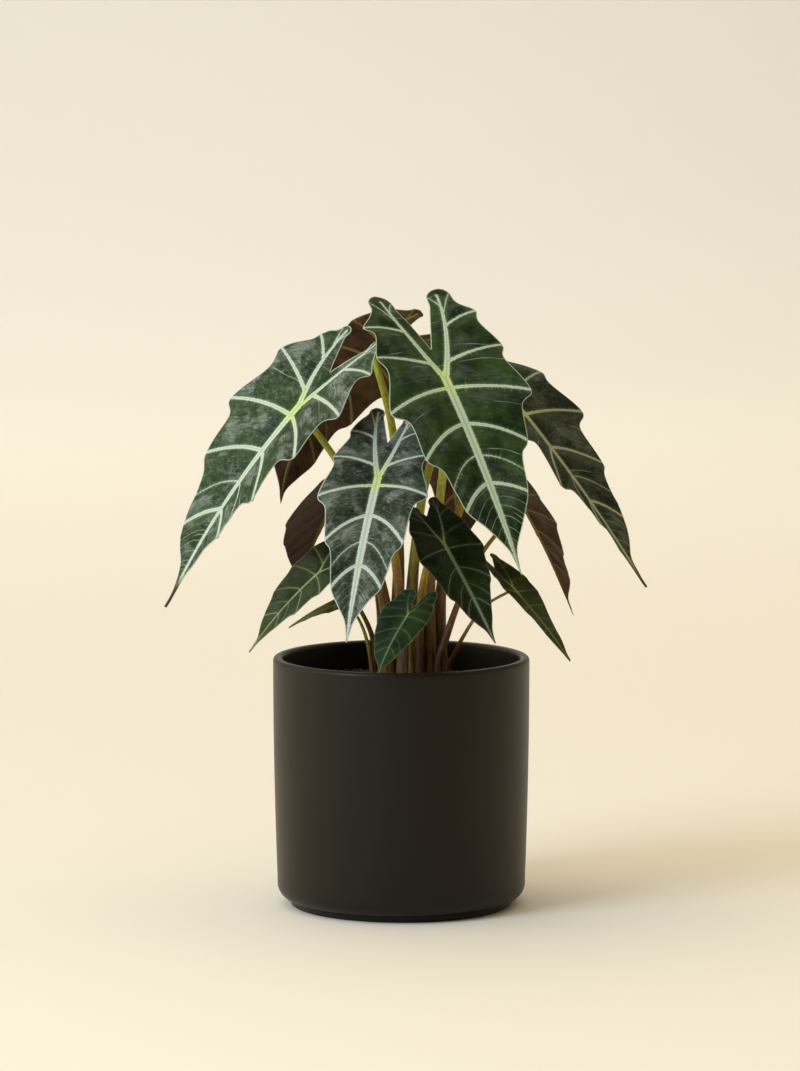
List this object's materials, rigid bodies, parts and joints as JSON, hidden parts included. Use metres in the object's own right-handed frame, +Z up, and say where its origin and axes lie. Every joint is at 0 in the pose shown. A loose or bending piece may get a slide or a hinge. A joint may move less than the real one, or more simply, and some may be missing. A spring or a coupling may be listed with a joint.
{
  "type": "potted alocasia",
  "caption": "Live alocasia plant with arrow-shaped, pale-veined dark green leaves on upright stalks, growing in a matte black cylinder pot with a low foot.",
  "frame": {"origin": "middle of the pot's flat underside, on the surface that it stands on", "axes": "+Z up, -Y towards the viewer and the side that the front leaves face, +X to the viewer's right"},
  "size_m": [0.3733, 0.3236, 0.4831],
  "materials": {
    "pot": "matte",
    "soil": "matte",
    "leaf": "satin",
    "stalk": "satin"
  },
  "bodies": {
    "root": {"pot": "pot", "soil": "soil", "leaf_blade_01": "leaf", "leaf_stalk_01": "stalk", "leaf_blade_02": "leaf", "leaf_stalk_02": "stalk", "leaf_blade_03": "leaf", "leaf_stalk_03": "stalk", "leaf_blade_04": "leaf", "leaf_stalk_04": "stalk", "leaf_blade_05": "leaf", "leaf_stalk_05": "stalk", "leaf_blade_06": "leaf", "leaf_stalk_06": "stalk", "leaf_blade_07": "leaf", "leaf_stalk_07": "stalk", "leaf_blade_08": "leaf", "leaf_stalk_08": "stalk", "leaf_blade_09": "leaf", "leaf_stalk_09": "stalk", "leaf_blade_10": "leaf", "leaf_stalk_10": "stalk", "leaf_blade_11": "leaf", "leaf_stalk_11": "stalk", "leaf_blade_12": "leaf", "leaf_stalk_12": "stalk", "leaf_blade_13": "leaf", "leaf_stalk_13": "stalk"}
  },
  "joints": []
}
